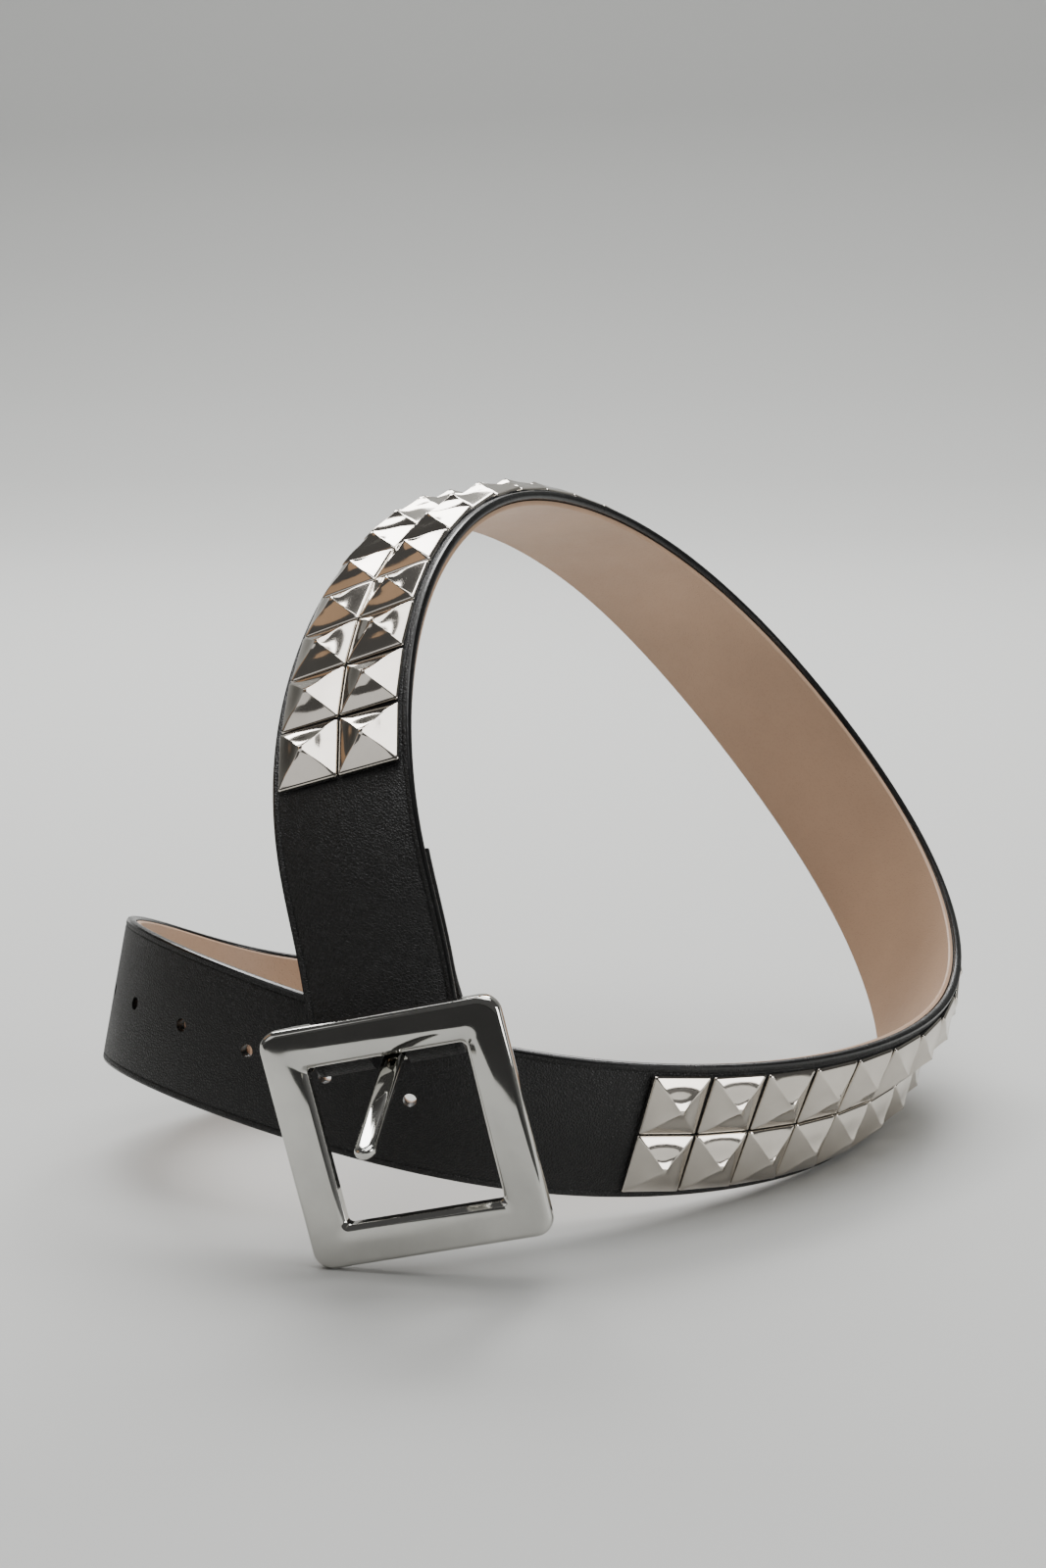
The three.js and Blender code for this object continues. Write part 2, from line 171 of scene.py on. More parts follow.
@dataclass(frozen=True)
class StrapFrame:
    """A place on the strap: its middle, and the ways along it, out of its face and across it."""

    point: Vector
    along: Vector
    out: Vector
    rim: Vector

    def spot(self, out: float = 0.0, rim: float = 0.0) -> Vector:
        """The point that lies some way out and across from this place."""
        return self.point + self.out * out + self.rim * rim

    def raised(self, level: float) -> StrapFrame:
        """The same frame, some way out of the strap's face."""
        return StrapFrame(self.spot(out=level), self.along, self.out, self.rim)


@dataclass
class BeltRun:
    """The strap's run, read by the length from the buckle's bar."""

    half_width: float = 110 * MM
    depth: float = 120 * MM
    height: float = 170 * MM
    samples: int = 1200
    probe: float = 0.5 * MM
    shift: Vector = field(default_factory=Vector)

    def __post_init__(self) -> None:
        """Lays the splines through the stations and measures the run."""
        points = np.array(
            [(row.x * self.half_width, row.y * self.depth, row.z * self.height) for row in RUN]
        )
        rims = np.array([self._rim(row) for row in RUN])
        steps = np.linalg.norm(np.diff(points, axis=0), axis=1)
        knots = np.concatenate([[0.0], np.cumsum(steps)])
        self.points = NaturalSpline(knots, points)
        self.rims = NaturalSpline(knots, rims)
        self.places = np.linspace(0.0, knots[-1], self.samples + 1)
        sampled = np.array([self.points.at(place) for place in self.places])
        gone = np.linalg.norm(np.diff(sampled, axis=0), axis=1)
        self.lengths = np.concatenate([[0.0], np.cumsum(gone)])

    @staticmethod
    def _rim(row: Station) -> tuple[float, float, float]:
        """The way across the strap at a station.

        Args:
            row: The station.

        Returns:
            The way, one long.
        """
        turn, rise = math.radians(row.turn), math.radians(row.rise)
        level = math.cos(rise)
        return level * math.cos(turn), level * math.sin(turn), math.sin(rise)

    def at(self, length: float) -> StrapFrame:
        """The strap's frame at a length from the bar.

        Args:
            length: The length along the strap.

        Returns:
            The frame, with straight run past either end.
        """
        inside = min(length, float(self.lengths[-1]) - 2 * self.probe)
        place = float(np.interp(inside, self.lengths, self.places))
        ahead = self.points.at(place + self.probe) - self.points.at(max(0.0, place - self.probe))
        along = Vector(ahead).normalized()
        out = Vector(self.rims.at(place)).cross(along).normalized()
        point = Vector(self.points.at(place)) + along * (length - inside) + self.shift
        return StrapFrame(point, along, out, along.cross(out))


@dataclass(frozen=True)
class StrapSizes:
    """The strap's own sizes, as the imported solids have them."""

    seat_gap: float = 0.3 * MM
    width: float = 38 * MM
    leather: float = 2.4 * MM
    lining: float = 1.2 * MM
    lining_inset: float = 1.0 * MM
    plain_run: float = 66 * MM
    fold_tail: float = 44 * MM
    fold_blend: float = 14 * MM
    tip_round: float = 19 * MM
    hole_count: int = 7
    hole_diameter: float = 3.4 * MM
    hole_spacing: float = 21.6 * MM
    first_hole: float = 58 * MM
    tip_run: float = 87 * MM
    stud_count: int = 33
    stud_pitch: float = 16.9 * MM
    bar_radius: float = 2 * MM
    slot_width: float = 9 * MM
    slot_reach: float = 7 * MM

    @property
    def face(self) -> float:
        """Level of the outer leather's face above the strap's middle."""
        return (self.leather + self.seat_gap + self.lining) / 2

    @property
    def leather_middle(self) -> float:
        """Level of the outer leather's middle."""
        return self.face - self.leather / 2

    @property
    def leather_back(self) -> float:
        """Level of the outer leather's back."""
        return self.face - self.leather

    @property
    def lining_middle(self) -> float:
        """Level of the lining's middle."""
        return self.leather_back - self.seat_gap - self.lining / 2

    @property
    def bar_level(self) -> float:
        """Level of the buckle's bar in the fold."""
        return self.leather_back - self.seat_gap - self.bar_radius

    @property
    def fold_radius(self) -> float:
        """Distance from the bar to the middle of the leather that is folded round it."""
        return self.leather_middle - self.bar_level

    @property
    def tail_level(self) -> float:
        """Level of the fold's tail behind the plain run."""
        return self.leather_back - self.seat_gap - self.leather / 2

    @property
    def studs_end(self) -> float:
        """Length at which the studs end."""
        return self.plain_run + self.stud_count * self.stud_pitch

    @property
    def length(self) -> float:
        """The strap's whole length from the bar to the tip."""
        return self.studs_end + self.first_hole + (self.hole_count - 1) * self.hole_spacing + self.tip_run

    def half_width_at(self, length: float, inset: float) -> float:
        """Half the width at a length, drawn in to the round tip, less an inset from the rim."""
        into_tip = max(0.0, length - (self.length - self.tip_round)) / self.tip_round
        return self.width / 2 * math.sqrt(max(0.0, 1 - into_tip**2)) - inset

    def hole_lengths(self) -> list[float]:
        """Lengths at which the holes are punched."""
        first = self.studs_end + self.first_hole
        return [first + i * self.hole_spacing for i in range(self.hole_count)]


# Node graphs written as Python


Number = Union[float, int, "Value"]


def _operation(kind: str, swapped: bool = False) -> Callable[..., Value]:
    """A method of Value that is one Math node.

    Args:
        kind: The node's operation.
        swapped: Whether the value is the last operand, as in one minus it.

    Returns:
        The method.
    """

    def method(value: Value, *others: Number) -> Value:
        """Adds the node over the value and the other operands."""
        operands = (*others, value) if swapped else (value, *others)
        return value.graph.add("ShaderNodeMath", {"operation": kind}, dict(enumerate(operands)))

    return method


class Value:
    """A socket that Python's operators turn into Math nodes.

    Least and most give the smaller and the larger of two, above gives one where this is the larger, and
    sine and cosine take radians.
    """

    __add__, __radd__ = _operation("ADD"), _operation("ADD", swapped=True)
    __sub__, __rsub__ = _operation("SUBTRACT"), _operation("SUBTRACT", swapped=True)
    __mul__, __truediv__, __pow__ = _operation("MULTIPLY"), _operation("DIVIDE"), _operation("POWER")
    __abs__, sign, floor = _operation("ABSOLUTE"), _operation("SIGN"), _operation("FLOOR")
    sine, cosine = _operation("SINE"), _operation("COSINE")
    least, most, above = _operation("MINIMUM"), _operation("MAXIMUM"), _operation("GREATER_THAN")

    def __init__(self, graph: Graph, socket: bpy.types.NodeSocket) -> None:
        """Wraps a socket of a graph."""
        self.graph = graph
        self.socket = socket

    def ramp(self, low: float, high: float) -> Value:
        """Zero at low and one at high, straight between and held outside."""
        share = (self - low) / (high - low)
        return share.most(0.0).least(1.0)


class Graph:
    """A node tree that is filled from Python."""

    def __init__(self, tree: bpy.types.NodeTree) -> None:
        """Starts on an existing tree."""
        self.tree = tree

    def node(self, kind: str, settings: dict | None = None, inputs: dict | None = None) -> bpy.types.Node:
        """Adds one node.

        Args:
            kind: The node's type.
            settings: Its properties, which are set first.
            inputs: Values or links of its sockets, by name or place.

        Returns:
            The new node.
        """
        made = self.tree.nodes.new(kind)
        for name, setting in (settings or {}).items():
            setattr(made, name, setting)
        for key, given in (inputs or {}).items():
            socket = made.inputs[key]
            if isinstance(given, Value):
                self.tree.links.new(given.socket, socket)
            elif isinstance(given, bpy.types.NodeSocket):
                self.tree.links.new(given, socket)
            else:
                socket.default_value = given
        return made

    def add(self, kind: str, settings: dict | None = None, inputs: dict | None = None,
            output: str | int = 0) -> Value:
        """Adds one node, as above, and gives one of its outputs by name or place."""
        return Value(self, self.node(kind, settings, inputs).outputs[output])

    def mix(self, share: Number, low: Sequence[float] | Value, high: Sequence[float] | Value) -> Value:
        """A colour between two colours.

        Args:
            share: Zero for the first colour and one for the second.
            low: The first colour.
            high: The second colour.

        Returns:
            The mixed colour.
        """
        colours = {0: share, 6: low, 7: high}
        inputs = {k: v if isinstance(v, (Value, float, int)) else (*v, 1.0) for k, v in colours.items()}
        return self.add("ShaderNodeMix", {"data_type": "RGBA"}, inputs, output=2)


# Finishes


@dataclass(frozen=True)
class Finish:
    """A surface's material, built once and shared by its pieces."""

    name: str
    colour: tuple[float, float, float]
    roughness: float

    def material(self) -> bpy.types.Material:
        """The material, made on first use.

        Returns:
            The material.
        """
        found = bpy.data.materials.get(self.name)
        if found:
            return found
        material = bpy.data.materials.new(self.name)
        material.use_nodes = True
        material.diffuse_color = (*self.colour, 1.0)
        graph = Graph(material.node_tree)
        shader = material.node_tree.nodes["Principled BSDF"]
        shader.inputs["Base Color"].default_value = (*self.colour, 1.0)
        shader.inputs["Roughness"].default_value = self.roughness
        self.dress(graph, shader)
        return material

    def dress(self, graph: Graph, shader: bpy.types.Node) -> None:
        """Adds what sets this finish apart."""
        raise NotImplementedError

    @staticmethod
    def place(graph: Graph) -> Value:
        """The piece's own coordinates."""
        return graph.add("ShaderNodeTexCoord", output="Object")

    @staticmethod
    def noise(graph: Graph, place: Value, scale: float, detail: float = 3.0, roughness: float = 0.5) -> Value:
        """A soft noise round one half, with so many waves in a metre."""
        inputs = {"Vector": place, "Scale": scale, "Detail": detail, "Roughness": roughness}
        return graph.add("ShaderNodeTexNoise", None, inputs, output=0)

    @staticmethod
    def link(shader: bpy.types.Node, name: str, value: Value) -> None:
        """Feeds one of the shader's sockets."""
        value.graph.tree.links.new(value.socket, shader.inputs[name])

    @staticmethod
    def bump(graph: Graph, shader: bpy.types.Node, height: Value, depth: float) -> None:
        """Raises the surface by a height round zero to one, whose unit is so deep."""
        bump = graph.add("ShaderNodeBump", None, {"Height": height, "Distance": depth})
        graph.tree.links.new(bump.socket, shader.inputs["Normal"])


@dataclass(frozen=True)
class GrainedLeather(Finish):
    """Black leather with a fine pebbled grain and a low sheen."""

    grain: float = 1300.0
    grain_depth: float = 0.2 * MM
    gleam: float = 0.5

    def dress(self, graph: Graph, shader: bpy.types.Node) -> None:
        """Adds pebbles, pores and slow changes of sheen, with painted shade darkening the crevices between
        the pebbles.

        Args:
            graph: The material's graph.
            shader: The shader that the nodes feed.
        """
        place = self.place(graph)
        bent = graph.add(
            "ShaderNodeVectorMath",
            {"operation": "MULTIPLY_ADD"},
            {0: graph.add("ShaderNodeTexNoise", None, {"Vector": place, "Scale": 700.0}, output=1),
             1: (0.0008, 0.0008, 0.0008), 2: place},
        )
        cells = {"Vector": bent, "Scale": self.grain}
        edges = graph.add("ShaderNodeTexVoronoi", {"feature": "DISTANCE_TO_EDGE"}, cells)
        pebbles = edges.ramp(0.0, 0.32) ** 0.6
        pores = self.noise(graph, place, 2600.0, 2.0)
        patches = self.noise(graph, place, 38.0, 3.0)
        self.bump(graph, shader, pebbles * 0.8 + pores * 0.35, self.grain_depth)
        self.link(shader, "Roughness", 0.36 + patches * 0.16 + (1.0 - pebbles) * 0.16)
        # Painted shade: the colour darkens in the crevices between pebbles; the slow patches are the
        # leather's own random tone.
        shade = pebbles * 0.7 + patches * 0.3
        self.link(shader, "Base Color", graph.mix(shade, (0.002, 0.002, 0.002), self.colour))
        shader.inputs["Specular IOR Level"].default_value = self.gleam


@dataclass(frozen=True)
class PaintedEdge(Finish):
    """Glossy black paint on the cut edge of the leather."""

    def dress(self, graph: Graph, shader: bpy.types.Node) -> None:
        """Adds the paint's slow waves and its dull spots.

        Args:
            graph: The material's graph.
            shader: The shader that the nodes feed.
        """
        place = self.place(graph)
        waves = self.noise(graph, place, 160.0, 3.0)
        specks = self.noise(graph, place, 1500.0, 2.0)
        self.bump(graph, shader, waves + specks * 0.2, 0.12 * MM)
        self.link(shader, "Roughness", 0.16 + waves * 0.2)


@dataclass(frozen=True)
class SmoothLining(Finish):
    """Smooth tan leather with faint pores and creases."""

    def dress(self, graph: Graph, shader: bpy.types.Node) -> None:
        """Adds colour drift, pores and creases across the strap, with painted shade darkening the pores.

        Args:
            graph: The material's graph.
            shader: The shader that the nodes feed.
        """
        place = self.place(graph)
        drift = self.noise(graph, place, 22.0, 4.0)
        pores = graph.add("ShaderNodeTexVoronoi", {"feature": "F1"}, {"Vector": place, "Scale": 1300.0})
        creases = self.noise(graph, place, 210.0, 5.0, 0.62)
        dark = tuple(level * 0.72 for level in self.colour)
        # Painted shade: darker in the pores' pits; the slow drift is the leather's own uneven tone.
        shade = (drift.ramp(0.3, 0.7) * 0.75 + pores.ramp(0.0, 0.5) * 0.25)
        self.link(shader, "Base Color", graph.mix(shade, dark, self.colour))
        self.link(shader, "Roughness", self.roughness + creases * 0.18 - 0.09)
        self.bump(graph, shader, pores.ramp(0.0, 0.35) * 0.5 + creases, 0.1 * MM)


@dataclass(frozen=True)
class PolishedMetal(Finish):
    """Polished plating with faint polishing marks and finger haze."""

    haze: float = 0.035
    ripple: float = 0.03 * MM

    def dress(self, graph: Graph, shader: bpy.types.Node) -> None:
        """Adds haze, fine scratches and the plating's slow ripple.

        Args:
            graph: The material's graph.
            shader: The shader that the nodes feed.
        """
        place = self.place(graph)
        smear = self.noise(graph, place, 70.0, 4.0, 0.6)
        stretched = graph.add(
            "ShaderNodeMapping", None, {"Vector": place, "Scale": (130.0, 130.0, 900.0)}
        )
        scratch = graph.add("ShaderNodeTexNoise", None, {"Vector": stretched, "Scale": 1.0, "Detail": 2.0})
        ripple = self.noise(graph, place, 90.0, 1.0)
        shader.inputs["Metallic"].default_value = 1.0
        hazed = smear.ramp(0.45, 0.8) * self.haze + scratch.ramp(0.62, 0.8) * self.haze
        self.link(shader, "Roughness", self.roughness + hazed)
        dull = tuple(level * 0.86 for level in self.colour)
        self.link(shader, "Base Color", graph.mix(smear.ramp(0.35, 0.75), self.colour, dull))
        self.bump(graph, shader, ripple, self.ripple)


LEATHER = GrainedLeather("grained_black_leather", (0.011, 0.0107, 0.0103), 0.42)
EDGE = PaintedEdge("painted_black_edge", (0.006, 0.006, 0.006), 0.3)
LINING = SmoothLining("smooth_tan_lining", (0.52, 0.34, 0.225), 0.5)
STUD_METAL = PolishedMetal("polished_warm_nickel", (0.69, 0.64, 0.575), 0.07)
BUCKLE_METAL = PolishedMetal("polished_nickel", (0.65, 0.64, 0.605), 0.055, haze=0.03)


# Meshes


@dataclass
class MeshDraft:
    """Corners and faces that are gathered before a mesh is made."""

    corners: list[Vector] = field(default_factory=list)
    faces: list[list[int]] = field(default_factory=list)
    finishes: list[int] = field(default_factory=list)

    def face(self, indices: Sequence[int], finish: int = 0) -> None:
        """Adds one face with the place of its finish."""
        self.faces.append(list(indices))
        self.finishes.append(finish)

    def loft(self, rings: Sequence[Sequence[Vector]], closed: bool = False,
             finish_of: Sequence[int] | None = None) -> None:
        """Adds a skin through rings that have the same number of corners.

        Args:
            rings: The rings in order, each running the same way round.
            closed: Whether the last ring joins the first. If not, both ends are capped.
            finish_of: The finish of each strip between two corners of a ring.
        """
        size = len(rings[0])
        base = len(self.corners)
        for ring in rings:
            self.corners.extend(ring)
        spans = len(rings) if closed else len(rings) - 1
        for i in range(spans):
            here, there = base + i * size, base + ((i + 1) % len(rings)) * size
            for j in range(size):
                k = (j + 1) % size
                finish = finish_of[j] if finish_of else 0
                self.face([here + j, here + k, there + k, there + j], finish)
        if not closed:
            self.face([base + j for j in reversed(range(size))])
            self.face([base + (len(rings) - 1) * size + j for j in range(size)])

    def placed(self, matrix: Matrix) -> MeshDraft:
        """The same draft, moved and turned."""
        return MeshDraft([matrix @ corner for corner in self.corners], self.faces, self.finishes)

    def join(self, other: MeshDraft) -> None:
        """Takes in another draft's corners and faces.

        Args:
            other: The draft that is taken in.
        """
        base = len(self.corners)
        self.corners.extend(other.corners)
        self.faces.extend([[base + i for i in face] for face in other.faces])
        self.finishes.extend(other.finishes)

    def build(self, name: str, finishes: Iterable[Finish], sharp: float = 35.0) -> bpy.types.Object:
        """Makes the object.

        Args:
            name: The object's name.
            finishes: Its finishes, in the order that the faces use.
            sharp: Degrees past which an edge stays sharp.

        Returns:
            The object, with its faces pointing outwards.
        """
        mesh = bpy.data.meshes.new(name)
        mesh.from_pydata([tuple(c) for c in self.corners], [], self.faces)
        mesh.polygons.foreach_set("material_index", self.finishes)
        for finish in finishes:
            mesh.materials.append(finish.material())
        face_outwards(mesh)
        smooth_by_angle(mesh, sharp)
        made = bpy.data.objects.new(name, mesh)
        bpy.context.scene.collection.objects.link(made)
        return made


def smooth_by_angle(mesh: bpy.types.Mesh, sharp: float) -> None:
    """Shades a mesh smooth except over its sharp edges.

    Args:
        mesh: The mesh.
        sharp: Degrees past which an edge stays sharp.
    """
    mesh.shade_smooth()
    mesh.set_sharp_from_angle(angle=math.radians(sharp))
    mesh.update()


def face_outwards(mesh: bpy.types.Mesh) -> None:
    """Turns each closed shell's faces outwards.

    Args:
        mesh: The mesh.
    """
    work = bmesh.new()
    work.from_mesh(mesh)
    bmesh.ops.recalc_face_normals(work, faces=work.faces)
    work.to_mesh(mesh)
    work.free()


def settled(piece: bpy.types.Object) -> bpy.types.Object:
    """Turns an object's evaluated shape into its plain mesh and clears its modifiers.

    Args:
        piece: The object.

    Returns:
        The same object.
    """
    graph = bpy.context.evaluated_depsgraph_get()
    mesh = bpy.data.meshes.new_from_object(piece.evaluated_get(graph))
    piece.modifiers.clear()
    piece.data = mesh
    mesh.name = piece.name
    return piece


def cut_by(piece: bpy.types.Object, cutter: bpy.types.Object) -> bpy.types.Object:
    """Cuts one closed object out of another and removes the cutter.

    Args:
        piece: The object that is cut.
        cutter: The object that is cut out of it.

    Returns:
        The cut object.
    """
    modifier = piece.modifiers.new("cut", "BOOLEAN")
    modifier.operation = "DIFFERENCE"
    modifier.solver = "EXACT"
    modifier.object = cutter
    settled(piece)
    bpy.data.objects.remove(cutter)
    return piece


def spaced(start: float, end: float, step: float) -> list[float]:
    """Even places from start to end, about one step apart."""
    count = max(1, round((end - start) / step))
    return [start + (end - start) * i / count for i in range(count + 1)]


def rod(start: Vector, end: Vector, radius: float, sides: int = 32) -> MeshDraft:
    """A closed round rod between two points.

    Args:
        start: Middle of one end.
        end: Middle of the other end.
        radius: The rod's radius.
        sides: How many sides it has.

    Returns:
        The rod as a draft.
    """
    axis = (end - start).normalized()
    side = axis.orthogonal().normalized()
    other = axis.cross(side)
    turns = [2 * math.pi * i / sides for i in range(sides)]
    around = [side * math.cos(turn) * radius + other * math.sin(turn) * radius for turn in turns]
    draft = MeshDraft()
    draft.loft([[end_point + ray for ray in around] for end_point in (start, end)])
    return draft


# The strap


@dataclass
class Strap:
    """The outer leather with its fold, its holes and its painted rim, and the lining behind it."""

    run: BeltRun
    sizes: StrapSizes
    step: float = 2.2 * MM
    edge_round: float = 0.7 * MM
    crease_in: float = 1.9 * MM
    crease_half: float = 0.35 * MM
    crease_depth: float = 0.22 * MM
    lining_round: float = 0.35 * MM

    def leather_section(self, half_width: float) -> tuple[list[tuple[float, float]], list[int]]:
        """Corners across the leather, out and across, and the finish of each strip.

        Args:
            half_width: Half the width at this place.

        Returns:
            The corners round the section, and zero for grain or one for painted edge.
        """
        half = self.sizes.leather / 2
        shrink = min(1.0, half_width / (self.sizes.width / 4))
        rows = [
            (half, 0.0, 0),
            (half, half_width - (self.crease_in + self.crease_half) * shrink, 0),
            (half - self.crease_depth, half_width - self.crease_in * shrink, 0),
            (half, half_width - (self.crease_in - self.crease_half) * shrink, 0),
            (half - 0.05 * self.edge_round, half_width - self.edge_round * shrink, 1),
            (half - 0.35 * self.edge_round, half_width - 0.25 * self.edge_round * shrink, 1),
            (half - self.edge_round, half_width, 1),
            (0.0, half_width + 0.12 * self.edge_round * shrink, 1),
            (-half + self.edge_round, half_width, 1),
            (-half + 0.3 * self.edge_round, half_width - 0.3 * self.edge_round * shrink, 1),
            (-half, half_width - self.edge_round * shrink, 0),
        ]
        right = [(out, rim) for out, rim, _ in rows]
        left = [(out, -rim) for out, rim in reversed(right[1:])]
        strips = [finish for _, _, finish in rows]
        back = list(reversed(strips[:-1]))
        return [*right, *left], [*strips, *back[:-1], 0]

    def lining_section(self, half_width: float) -> list[tuple[float, float]]:
        """Corners across the lining, out and across.

        Args:
            half_width: Half the width at this place.

        Returns:
            The corners round the section.
        """
        half = self.sizes.lining / 2
        soft = min(self.lining_round, half_width / 2)
        right = [(half, 0.0), (half, half_width), (-half + soft, half_width), (-half, half_width - soft)]
        left = [(out, -rim) for out, rim in reversed(right[1:])]
        return [*right, (-half, 0.0), *left]

    def lengths(self, start: float) -> list[float]:
        """Lengths of the rings, closer together round the tip.

        Args:
            start: Length of the first ring.

        Returns:
            The lengths in order.
        """
        tip = self.sizes.length - self.sizes.tip_round
        turns = [math.radians(turn) for turn in (8, 16, 24, 32, 40, 48, 56, 63, 69, 75, 80, 84, 87)]
        return [*spaced(start, tip, self.step), *(tip + self.sizes.tip_round * math.sin(t) for t in turns)]

    def fold_frames(self) -> list[StrapFrame]:
        """Frames of the fold: down the tail, out to the bar's back and round under it.

        Returns:
            The frames in order, from the tail's end to the bar's front.
        """
        sizes = self.sizes
        behind = sizes.bar_level - sizes.fold_radius
        blend_end = sizes.fold_blend + sizes.bar_radius
        tail = list(reversed(spaced(blend_end, sizes.fold_tail, self.step)))
        tail += list(reversed(spaced(sizes.bar_radius, blend_end, self.step / 2)))[1:]
        frames = []
        for length in tail:
            share = min(1.0, max(0.0, (length - sizes.bar_radius) / sizes.fold_blend))
            smooth = share * share * (3 - 2 * share)
            reach = sizes.tail_level - behind
            frame = self.run.at(length).raised(behind + reach * smooth)
            slope = reach * 6 * share * (1 - share) / sizes.fold_blend
            along = -(frame.along + frame.out * slope).normalized()
            frames.append(StrapFrame(frame.point, along, frame.rim.cross(along), frame.rim))
        end = self.run.at(0.0)
        bar = end.spot(out=sizes.bar_level)
        for turn in (math.radians(degrees) for degrees in range(0, 180, 9)):
            out = -end.out * math.cos(turn) - end.along * math.sin(turn)
            frames.append(StrapFrame(bar + out * sizes.fold_radius, end.along, out, end.rim))
        return frames

    def punches(self) -> bpy.types.Object:
        """Round cutters where the holes are punched.

        Returns:
            The cutters as one object.
        """
        draft = MeshDraft()
        for length in self.sizes.hole_lengths():
            frame = self.run.at(length)
            reach = 3 * self.sizes.face
            draft.join(rod(frame.spot(out=-reach), frame.spot(out=reach), self.sizes.hole_diameter / 2))
        return draft.build("hole_punches", [EDGE])

    def slot_cutter(self) -> bpy.types.Object:
        """The block that cuts the prong's slot through both layers of the fold.

        Returns:
            The block.
        """
        end = self.run.at(0.0)
        bar = end.spot(out=self.sizes.bar_level)
        foot = self.sizes.fold_radius + self.sizes.leather
        half, reach = self.sizes.slot_width / 2, self.sizes.slot_reach
        draft = MeshDraft()
        rings = []
        for out in (-2 * foot, 2 * foot):
            rings.append([
                bar + end.out * out + end.rim * side + end.along * up
                for side, up in ((-half, -foot), (half, -foot), (half, reach), (-half, reach))
            ])
        draft.loft(rings)
        return draft.build("slot_cutter", [EDGE])

    def build_leather(self) -> bpy.types.Object:
        """The outer leather as one closed piece.

        Returns:
            The leather, with its slot and its holes.
        """
        frames = [(frame, self.sizes.width / 2) for frame in self.fold_frames()]
        for length in self.lengths(0.0):
            frame = self.run.at(length).raised(self.sizes.leather_middle)
            frames.append((frame, self.sizes.half_width_at(length, 0.0)))
        draft = MeshDraft()
        rings = []
        for frame, half_width in frames:
            section, strips = self.leather_section(half_width)
            rings.append([frame.spot(out, rim) for out, rim in section])
        draft.loft(rings, finish_of=strips)
        leather = draft.build("strap_leather", [LEATHER, EDGE])
        cut_by(leather, self.slot_cutter())
        cut_by(leather, self.punches())
        smooth_by_angle(leather.data, 38.0)
        return leather

    def build_lining(self) -> bpy.types.Object:
        """The lining as one closed piece.

        Returns:
            The lining, with its holes.
        """
        start = self.sizes.fold_tail + self.sizes.seat_gap + self.sizes.lining_inset
        rings = []
        for length in self.lengths(start):
            frame = self.run.at(length).raised(self.sizes.lining_middle)
            half_width = max(0.4 * MM, self.sizes.half_width_at(length, self.sizes.lining_inset))
            rings.append([frame.spot(out, rim) for out, rim in self.lining_section(half_width)])
        draft = MeshDraft()
        draft.loft(rings)
        lining = draft.build("strap_lining", [LINING])
        cut_by(lining, self.punches())
        smooth_by_angle(lining.data, 38.0)
        return lining


# The studs


